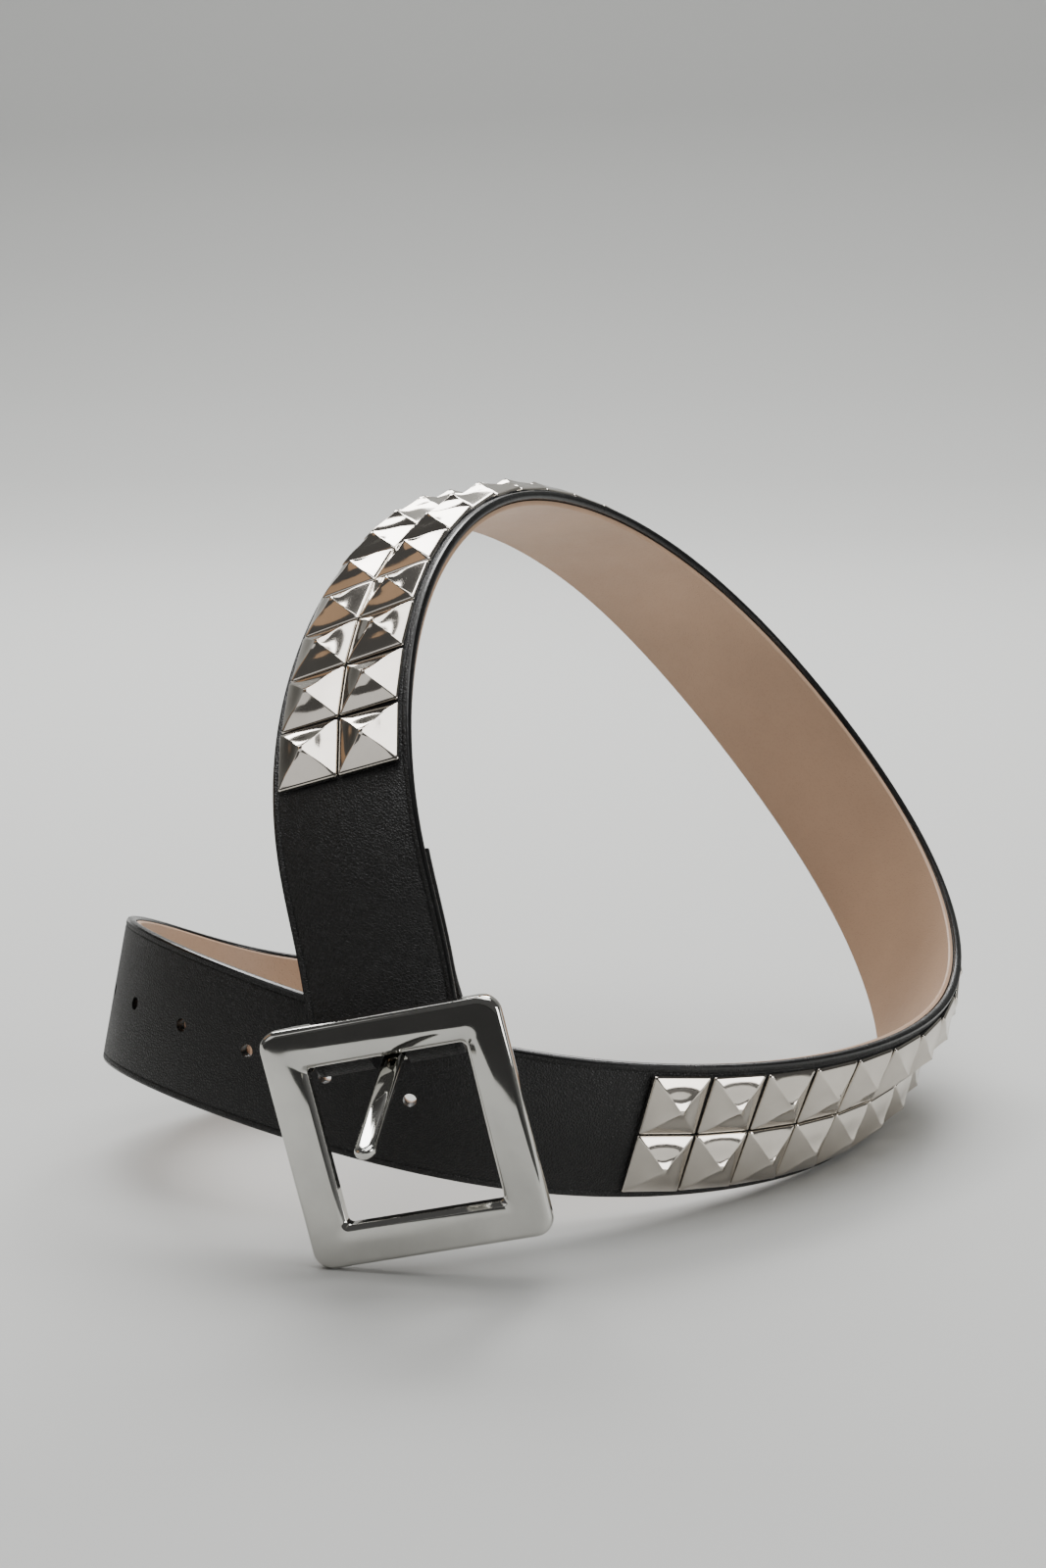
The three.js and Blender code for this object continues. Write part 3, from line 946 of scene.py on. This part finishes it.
@dataclass
class StudRow:
    """One row of bell-sided pyramid studs on a thin carrier that follows the strap."""

    run: BeltRun
    sizes: StrapSizes
    side: int
    name: str
    height: float = 4.8 * MM
    foot: float = 0.25 * MM
    soft: float = 0.85 * MM
    bell: float = 0.045
    scoop: float = 0.04
    gap: float = 0.24 * MM
    carrier: float = 0.3 * MM
    lines: int = 9

    def base_object(self) -> bpy.types.Object:
        """The carrier strip, with one loose marked corner at the middle of each stud.

        Returns:
            The object, whose corners carry the strap's headings.
        """
        level = self.sizes.face + self.sizes.seat_gap
        half = self.sizes.stud_pitch / 2 - self.gap
        middle = self.side * self.sizes.stud_pitch / 2
        start, end = self.sizes.plain_run + self.gap, self.sizes.studs_end - self.gap
        rings = []
        for length in spaced(start, end, self.sizes.stud_pitch / 4):
            frame = self.run.at(length)
            section = [(0.0, -half), (0.0, half), (self.carrier, half), (self.carrier, -half)]
            rings.append([frame.spot(level + out, middle + rim) for out, rim in section])
        draft = MeshDraft()
        draft.loft(rings)
        strip = len(draft.corners)
        centres = [self.run.at(self.sizes.plain_run + (i + 0.5) * self.sizes.stud_pitch)
                   for i in range(self.sizes.stud_count)]
        draft.corners.extend(frame.spot(level, middle) for frame in centres)
        made = draft.build(self.name, [LEATHER])
        blank = Vector((0.0, 0.0, 1.0))
        marks = [0.0] * strip + [1.0] * len(centres)
        headings = [blank] * strip + [frame.along for frame in centres]
        facings = [blank] * strip + [frame.out for frame in centres]
        mesh = made.data
        mesh.attributes.new("is_stud", "FLOAT", "POINT").data.foreach_set("value", marks)
        for title, rows in (("heading", headings), ("facing", facings)):
            flat = [number for row in rows for number in row]
            mesh.attributes.new(title, "FLOAT_VECTOR", "POINT").data.foreach_set("vector", flat)
        return made

    def tree(self) -> bpy.types.NodeTree:
        """The node tree that raises one stud on each marked corner.

        Returns:
            The tree, with named inputs for the stud's sizes.
        """
        tree = bpy.data.node_groups.new("pyramid_studs", "GeometryNodeTree")
        face = tree.interface
        face.new_socket(name="Geometry", in_out="INPUT", socket_type="NodeSocketGeometry")
        for title in ("Side", "Height", "Foot", "Soft", "Bell", "Scoop"):
            face.new_socket(name=title, in_out="INPUT", socket_type="NodeSocketFloat")
        face.new_socket(name="Lines", in_out="INPUT", socket_type="NodeSocketInt")
        face.new_socket(name="Finish", in_out="INPUT", socket_type="NodeSocketMaterial")
        face.new_socket(name="Geometry", in_out="OUTPUT", socket_type="NodeSocketGeometry")
        graph = Graph(tree)
        given = graph.node("NodeGroupInput")
        size = {socket.name: Value(graph, socket) for socket in given.outputs if socket.name}

        slope_rows, roll_rows = 9, 4
        rows = slope_rows + roll_rows + 2
        sheet = graph.node("GeometryNodeMeshGrid", None, {
            "Size X": 4.0, "Size Y": 1.0, "Vertices X": size["Lines"] * 4.0 + 1.0, "Vertices Y": rows + 1,
        })
        place = graph.node("ShaderNodeSeparateXYZ", None, {0: graph.add("GeometryNodeInputPosition")})
        column = (Value(graph, place.outputs["X"]) + 2.0) * size["Lines"]
        row = (Value(graph, place.outputs["Y"]) + 0.5) * rows
        face_x, face_y, across = self._round_square(column, size["Lines"])

        spread = (row / slope_rows).least(1.0)
        rolled = row.ramp(slope_rows, slope_rows + roll_rows)
        wall, closing = (row.above(slope_rows + roll_rows + late) for late in (0.5, 1.5))
        lean = math.radians(25)
        turned_down = rolled * (math.pi / 2 - lean) + lean
        edge = size["Side"] * 0.5 - size["Soft"] * (1.0 - math.sin(lean))
        reach = (spread * edge + size["Soft"] * (turned_down.sine() - math.sin(lean))) * (1.0 - closing)
        fall = 1.0 - spread
        belled = fall - size["Bell"] * (spread * (2 * math.pi)).sine()
        scooped = size["Scoop"] * (1.0 - across * across) * spread * fall * 4.0
        climb = size["Height"] - size["Foot"] - size["Soft"] * math.cos(lean)
        rise = size["Foot"] + size["Soft"] * turned_down.cosine() + climb * (belled - scooped)
        raised = graph.add("ShaderNodeCombineXYZ", None, {
            "X": face_x * reach, "Y": face_y * reach, "Z": rise * (1.0 - wall),
        })
        shaped = graph.add("GeometryNodeSetPosition", None,
                           {"Geometry": sheet.outputs["Mesh"], "Position": raised})
        merged = graph.add("GeometryNodeMergeByDistance", None, {"Geometry": shaped, "Distance": 0.002 * MM})
        smooth = graph.add("GeometryNodeSetShadeSmooth", None, {"Geometry": merged, "Shade Smooth": True})
        plated = graph.add("GeometryNodeStoreNamedAttribute", {"data_type": "FLOAT", "domain": "FACE"},
                           {"Geometry": smooth, "Name": "plated", "Value": 1.0})

        facing = self._attribute(graph, "facing")
        heading = self._attribute(graph, "heading")
        turned = graph.add("FunctionNodeAxesToRotation", {"primary_axis": "Z", "secondary_axis": "X"},
                           {"Primary Axis": facing, "Secondary Axis": heading})
        marked = self._attribute(graph, "is_stud", "FLOAT")
        planted = graph.add("GeometryNodeInstanceOnPoints", None, {
            "Points": size["Geometry"],
            "Selection": marked.above(0.5),
            "Instance": plated,
            "Rotation": turned,
        })
        real = graph.add("GeometryNodeRealizeInstances", None, {"Geometry": planted})
        strip = graph.add("GeometryNodeDeleteGeometry", {"domain": "POINT"},
                          {"Geometry": size["Geometry"], "Selection": marked.above(0.5)})
        joined = graph.node("GeometryNodeJoinGeometry")
        for part in (strip, real):
            tree.links.new(part.socket, joined.inputs[0])
        metal = self._attribute(graph, "plated", "FLOAT")
        dressed = graph.add("GeometryNodeSetMaterial", None, {
            "Geometry": joined.outputs[0],
            "Selection": metal.above(0.5),
            "Material": size["Finish"],
        })
        result = graph.node("NodeGroupOutput")
        tree.links.new(dressed.socket, result.inputs[0])
        return tree

    @staticmethod
    def _attribute(graph: Graph, name: str, kind: str = "FLOAT_VECTOR") -> Value:
        """A named vector or number of the geometry."""
        return graph.add("GeometryNodeInputNamedAttribute", {"data_type": kind}, {"Name": name})

    @staticmethod
    def _round_square(column: Value, lines: Value) -> tuple[Value, Value, Value]:
        """The place round a square whose corners are cut by narrow strips.

        Args:
            column: The place round the square, counted in lines.
            lines: How many lines each side has, closer together near its corners.

        Returns:
            The place's x and y, and how far it lies from the middle of its side.
        """
        corner, crowding = 0.972, 1.9
        quarter = ((column + 0.5) / lines).floor()
        step = (column - quarter * lines) * 2.0 / (lines - 1.0) - 1.0
        near_corner = (1.0 - abs(step)).most(0.0) ** crowding
        across = step.sign() * corner * (1.0 - near_corner)
        turn = quarter * (math.pi / 2)
        x = turn.cosine() - turn.sine() * across
        y = turn.sine() + turn.cosine() * across
        return x, y, across

    def build(self) -> bpy.types.Object:
        """The row as one plain mesh.

        Returns:
            The row, with its carrier.
        """
        base = self.base_object()
        tree = bpy.data.node_groups.get("pyramid_studs") or self.tree()
        modifier = base.modifiers.new("studs", "NODES")
        modifier.node_group = tree
        fields = ("height", "foot", "soft", "bell", "scoop", "lines")
        settings = {name.title(): getattr(self, name) for name in fields}
        settings |= {"Side": self.sizes.stud_pitch - 2 * self.gap, "Finish": STUD_METAL.material()}
        for item in tree.interface.items_tree:
            if item.in_out == "INPUT" and item.name in settings:
                modifier[item.identifier] = settings[item.name]
        base.data.update()
        settled(base)
        for title in ("is_stud", "heading", "facing", "plated"):
            spare = base.data.attributes.get(title)
            if spare:
                base.data.attributes.remove(spare)
        face_outwards(base.data)
        return base


# The buckle


@dataclass
class Buckle:
    """The square frame with its lugs and heel bar, and the prong."""

    run: BeltRun
    sizes: StrapSizes
    side: float = 61 * MM
    bar_width: float = 10.3 * MM
    thickness: float = 4.6 * MM
    edge: float = 1.5 * MM
    inner_edge: float = 1.1 * MM
    window_ease: float = 0.9 * MM
    corner: float = 4.6 * MM
    window_corner: float = 1.4 * MM
    top: float = 10.9 * MM
    slack: float = 1.0 * MM
    lug_width: float = 4 * MM
    lug_gap: float = 1.4 * MM
    prong_width: float = 5.2 * MM
    prong_thickness: float = 2.8 * MM
    prong_length: float = 46 * MM
    eye_wall: float = 1.6 * MM
    swing: float = 19.5
    slide: float = 0.8 * MM
    lift: float = 74.0
    prong_slide: float = 0.7 * MM

    @property
    def back(self) -> float:
        """How far the frame's back lies in front of the bar."""
        return self.sizes.bar_radius + self.sizes.seat_gap + self.sizes.leather + self.slack

    def frame_matrix(self) -> Matrix:
        """Place of the frame: x along the bar, y up the strap and z to the front, swung back.

        Returns:
            The matrix that places what is drawn round the bar.
        """
        end = self.run.at(0.0)
        place = Matrix((end.rim, end.along, end.out)).transposed().to_4x4()
        place.translation = end.spot(out=self.sizes.bar_level)
        slid = Matrix.Translation((self.slide, 0.0, 0.0))
        return place @ slid @ Matrix.Rotation(math.radians(self.swing), 4, "X")

    def prong_matrix(self) -> Matrix:
        """Place of the prong, lifted from the frame and slid along the bar."""
        slid = Matrix.Translation((self.prong_slide, 0.0, 0.0))
        return self.frame_matrix() @ slid @ Matrix.Rotation(math.radians(-self.lift), 4, "X")

    def square_ring(self, inset: float, level: float, steps: int = 10) -> list[Vector]:
        """A square with round corners, some way inside the frame's outline.

        Args:
            inset: How far inside the outline.
            level: How far in front of the bar.
            steps: Corners along each round corner.

        Returns:
            The ring's points.
        """
        share = inset / self.bar_width
        corner = self.corner + (self.window_corner - self.corner) * share
        far = self.side / 2 - inset
        near = far - corner
        middle = self.top - self.side / 2
        ring = []
        for quarter, (x, y) in enumerate(((near, near), (-near, near), (-near, -near), (near, -near))):
            for i in range(steps + 1):
                turn = math.pi / 2 * (quarter + i / steps)
                across, up = corner * math.cos(turn), corner * math.sin(turn)
                ring.append(Vector((x + across, middle + y + up, level)))
        return ring

    def section(self) -> list[tuple[float, float]]:
        """The frame's section as insets and levels, from the outer wall round the front to the back.

        Returns:
            The section's corners in order.
        """
        front = self.back + self.thickness
        rows = []
        for degrees in range(0, 91, 15):
            turn = math.radians(degrees)
            rows.append((self.edge * (1 - math.cos(turn)), front - self.edge * (1 - math.sin(turn))))
        inner = self.bar_width
        ease = self.window_ease
        rows += [(inner * 0.5, front), (inner - self.inner_edge - 0.15 * MM, front)]
        rows += [(inner - self.inner_edge, front - 0.06 * MM), (inner - 0.12 * MM, front - self.inner_edge)]
        rows += [(inner, front - self.inner_edge - 0.2 * MM), (inner, self.back + ease)]
        rows += [(inner - ease, self.back), (self.edge, self.back)]
        for degrees in range(75, -1, -15):
            turn = math.radians(degrees)
            rows.append((self.edge * (1 - math.cos(turn)), self.back + self.edge * (1 - math.sin(turn))))
        return rows

    def block(self, low: Vector, high: Vector, edge: float) -> MeshDraft:
        """A block with round edges between two corners.

        Args:
            low: Its lowest corner.
            high: Its highest corner.
            edge: Radius of its edges.

        Returns:
            The block as a draft.
        """
        work = bmesh.new()
        bmesh.ops.create_cube(work, size=1.0)
        size, middle = high - low, (high + low) / 2
        for corner in work.verts:
            corner.co = Vector(a * b for a, b in zip(corner.co, size)) + middle
        bmesh.ops.bevel(work, geom=work.edges[:], offset=edge, segments=3, affect="EDGES", profile=0.5)
        draft = MeshDraft([v.co.copy() for v in work.verts])
        for f in work.faces:
            draft.face([v.index for v in f.verts])
        work.free()
        return draft

    def build_frame(self) -> bpy.types.Object:
        """The frame, its lugs and the bar.

        Returns:
            The frame as one object.
        """
        draft = MeshDraft()
        rings = [self.square_ring(inset, level) for inset, level in self.section()]
        draft.loft(rings, closed=True)
        reach = self.sizes.width / 2 + self.lug_gap
        radius = self.sizes.bar_radius
        for side in (-1, 1):
            near, far = sorted((side * reach, side * (reach + self.lug_width)))
            low = Vector((near, -radius, -radius))
            high = Vector((far, radius, self.back + self.thickness / 2))
            draft.join(self.block(low, high, 0.7 * MM))
        end = Vector((reach + self.lug_width / 2, 0.0, 0.0))
        draft.join(rod(-end, end, radius))
        return draft.placed(self.frame_matrix()).build("buckle_square_frame", [BUCKLE_METAL], 28.0)

    def prong_half_width(self, along: float) -> float:
        """Half the prong's width at a distance from the bar, drawn in to its round end.

        Args:
            along: Distance from the bar.

        Returns:
            Half the width there.
        """
        half = self.prong_width / 2
        into_end = max(0.0, along - (self.prong_length - half)) / half
        return half * math.sqrt(max(0.0, 1 - into_end**2))

    def build_prong(self) -> bpy.types.Object:
        """The eye round the bar and the crowned shank.

        Returns:
            The prong as one object.
        """
        draft = MeshDraft()
        draft.loft(self.eye_rings(), closed=True)
        start = self.sizes.bar_radius + self.sizes.seat_gap + 0.3 * MM
        half = self.prong_width / 2
        sides, side_flatness, crown_flatness, end_thickness = 28, 0.6, 0.75, 0.35
        end_turns = [math.radians(turn) for turn in (15, 30, 42, 53, 63, 72, 80, 86)]
        stops = spaced(start, self.prong_length - half, 3 * MM)
        stops += [self.prong_length - half + half * math.sin(turn) for turn in end_turns]
        rings = []
        for along in stops:
            wide = self.prong_half_width(along)
            full = math.sqrt(wide / half)
            thick = self.prong_thickness / 2 * (end_thickness + (1 - end_thickness) * full)
            rings.append([
                Vector((wide * math.copysign(abs(math.cos(turn)) ** side_flatness, math.cos(turn)), -along,
                        thick * math.copysign(abs(math.sin(turn)) ** crown_flatness, math.sin(turn))))
                for turn in (2 * math.pi * i / sides for i in range(sides))
            ])
        draft.loft(rings)
        return draft.placed(self.prong_matrix()).build("buckle_prong", [BUCKLE_METAL], 50.0)

    def eye_rings(self, sides: int = 40) -> list[list[Vector]]:
        """Sections of the eye, round the bar.

        Args:
            sides: How many sections.

        Returns:
            The sections in order.
        """
        hole = self.sizes.bar_radius + self.sizes.seat_gap
        outer = hole + self.eye_wall
        half = self.prong_width / 2
        soft = 0.5 * MM
        section = [(hole, half - soft), (hole + soft, half), (outer - soft, half), (outer, half - soft)]
        section += [(radius, -x) for radius, x in reversed(section)]
        rings = []
        for i in range(sides):
            turn = 2 * math.pi * i / sides
            rings.append([
                Vector((x, radius * math.cos(turn), radius * math.sin(turn))) for radius, x in section
            ])
        return rings


# The studio


class SoftBox(NamedTuple):
    """A soft light: its place, its width and height, its power in watts, its colour and its aim."""

    name: str
    place: tuple[float, float, float]
    size: tuple[float, float]
    power: float
    colour: tuple[float, float, float] = (1.0, 1.0, 1.0)
    aim: tuple[float, float, float] | None = None


SOFT_BOXES = (
    SoftBox("overhead_soft_box", (0.05, -0.1, 1.35), (1.0, 1.0), 13.0),
    SoftBox("back_soft_box", (-0.1, 1.1, 1.15), (1.3, 0.6), 30.0),
    SoftBox("right_soft_box", (1.0, -0.45, 0.3), (0.6, 0.5), 5.0),
    SoftBox("left_soft_box", (-1.1, -0.75, 0.5), (0.6, 0.7), 1.1),
    SoftBox("warm_soft_box", (-1.2, 0.25, 0.75), (0.5, 0.7), 0.5, colour=(1.0, 0.62, 0.34)),
    SoftBox("backdrop_soft_box", (0.0, 0.7, 1.9), (2.2, 0.5), 26.0, aim=(0.0, 2.3, 0.7)),
)


@dataclass
class Studio:
    """A plain pale floor, soft lights and the camera at the photograph's angle."""

    shift: Vector
    target_height: float = 103.75 * MM
    elevation: float = 11.216
    distance: float = 950.4 * MM
    lens: float = 84.25
    sensor: float = 36.0
    surround: float = 0.09

    @property
    def target(self) -> Vector:
        """The point at the middle of the picture."""
        return self.shift + Vector((0.0, 0.0, self.target_height))

    def build_camera(self) -> None:
        """The camera, looking at the target."""
        data = bpy.data.cameras.new("studio_camera")
        data.lens = self.lens
        data.sensor_width = self.sensor
        data.clip_start = 0.05
        data.clip_end = 50.0
        camera = bpy.data.objects.new("studio_camera", data)
        rise = math.radians(self.elevation)
        back = Vector((0.0, -math.cos(rise), math.sin(rise)))
        camera.location = self.target + back * self.distance
        camera.rotation_mode = "QUATERNION"
        camera.rotation_quaternion = (-back).to_track_quat("-Z", "Y")
        bpy.context.scene.collection.objects.link(camera)
        bpy.context.scene.camera = camera

    def build_floor(self) -> None:
        """The floor, swept up behind."""
        draft = MeshDraft()
        near, far, bend, wall, width = -6.0, 1.3, 1.0, 2.6, 5.0
        profile = [(near, 0.0), (0.0, 0.0), (far, 0.0)]
        for degrees in range(10, 91, 10):
            turn = math.radians(degrees)
            profile.append((far + bend * math.sin(turn), bend * (1 - math.cos(turn))))
        profile.append((far + bend, wall))
        drop = -0.1 * MM
        for y, z in profile:
            draft.corners += [Vector((-width, y, z + drop)), Vector((width, y, z + drop))]
        for i in range(len(profile) - 1):
            draft.face([2 * i, 2 * i + 1, 2 * i + 3, 2 * i + 2])
        draft.build("pale_floor", [FLOOR], 60.0)

    def build_dark_card(self) -> None:
        """A dark card before the belt, which only the mirroring surfaces see: painted shade in their
        reflections of the floor in front.
        """
        draft = MeshDraft()
        near, far, width, lift = -1.6, -0.221, 1.5, 1 * MM
        corners = ((-width, near), (width, near), (width, far), (-width, far))
        draft.corners += [Vector((x, y, lift)) for x, y in corners]
        draft.face([0, 1, 2, 3])
        card = draft.build("dark_card", [CARD])
        for rays in ("camera", "diffuse", "shadow", "transmission"):
            setattr(card, f"visible_{rays}", False)

    def build_light(self, box: SoftBox) -> None:
        """Hangs a soft box that faces its aim, or else the belt.

        Args:
            box: The soft box.
        """
        data = bpy.data.lights.new(box.name, "AREA")
        data.shape = "RECTANGLE"
        data.size, data.size_y = box.size
        data.energy = box.power
        data.color = box.colour
        light = bpy.data.objects.new(box.name, data)
        light.location = box.place
        light.rotation_mode = "QUATERNION"
        aim = Vector(box.aim) if box.aim else self.target
        light.rotation_quaternion = (aim - light.location).to_track_quat("-Z", "Y")
        bpy.context.scene.collection.objects.link(light)

    def build_world(self) -> None:
        """An even grey surround."""
        world = bpy.data.worlds.new("studio_surround")
        world.use_nodes = True
        background = world.node_tree.nodes["Background"]
        background.inputs["Color"].default_value = (self.surround,) * 3 + (1.0,)
        background.inputs["Strength"].default_value = 1.0
        bpy.context.scene.world = world

    def build(self) -> None:
        """Builds the camera, the floor and the lights."""
        self.build_camera()
        self.build_floor()
        self.build_dark_card()
        self.build_world()
        for box in SOFT_BOXES:
            self.build_light(box)


@dataclass(frozen=True)
class MattStage(Finish):
    """A plain matt surface of the studio."""

    def dress(self, graph: Graph, shader: bpy.types.Node) -> None:
        """Adds a trace of unevenness to the sheen."""
        drift = self.noise(graph, self.place(graph), 6.0, 2.0)
        self.link(shader, "Roughness", self.roughness + drift * 0.1 - 0.05)


FLOOR = MattStage("pale_matt_floor", (0.55, 0.555, 0.54), 0.7)
# The card's near-black is painted shade, seen only in the metal's reflections.
CARD = MattStage("dark_matt_card", (0.01, 0.01, 0.01), 0.9)


# Putting it together


def belt_run(frame: dict, sizes: StrapSizes) -> BeltRun:
    """The strap's run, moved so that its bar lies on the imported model's joint.

    Args:
        frame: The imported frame.
        sizes: The strap's sizes.

    Returns:
        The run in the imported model's place.
    """
    run = BeltRun()
    bar = run.at(0.0).spot(out=sizes.bar_level)
    run.shift = Vector(frame["joints"][0]["pos_m"]) - bar
    return run


def dress(piece: bpy.types.Object, body: Body, slot: Slot, *nodes: str) -> None:
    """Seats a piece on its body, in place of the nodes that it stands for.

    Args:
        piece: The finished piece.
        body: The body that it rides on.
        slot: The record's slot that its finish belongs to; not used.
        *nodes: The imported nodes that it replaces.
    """
    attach(piece, body.value)
    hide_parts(*nodes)
    LOG.info("%s: %d faces on %s", piece.name, len(piece.data.polygons), body.value)


def main() -> None:
    """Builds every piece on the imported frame."""
    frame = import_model()
    sizes = StrapSizes()
    run = belt_run(frame, sizes)
    Studio(run.shift).build()
    strap = Strap(run, sizes)
    dress(strap.build_leather(), Body.BELT, Slot.LEATHER, "strap")
    dress(strap.build_lining(), Body.BELT, Slot.LINING, "lining")
    for side, name, node in ((1, "studs_upper", "stud_row_upper"), (-1, "studs_lower", "stud_row_lower")):
        row = StudRow(run, sizes, side, name)
        dress(row.build(), Body.BELT, Slot.STUDS, node)
    buckle = Buckle(run, sizes)
    dress(buckle.build_frame(), Body.FRAME, Slot.BUCKLE, "buckle_frame")
    dress(buckle.build_prong(), Body.PRONG, Slot.BUCKLE, "prong")


if __name__ == "__main__":
    logging.basicConfig(level=logging.INFO, format="%(name)s: %(message)s")
    main()
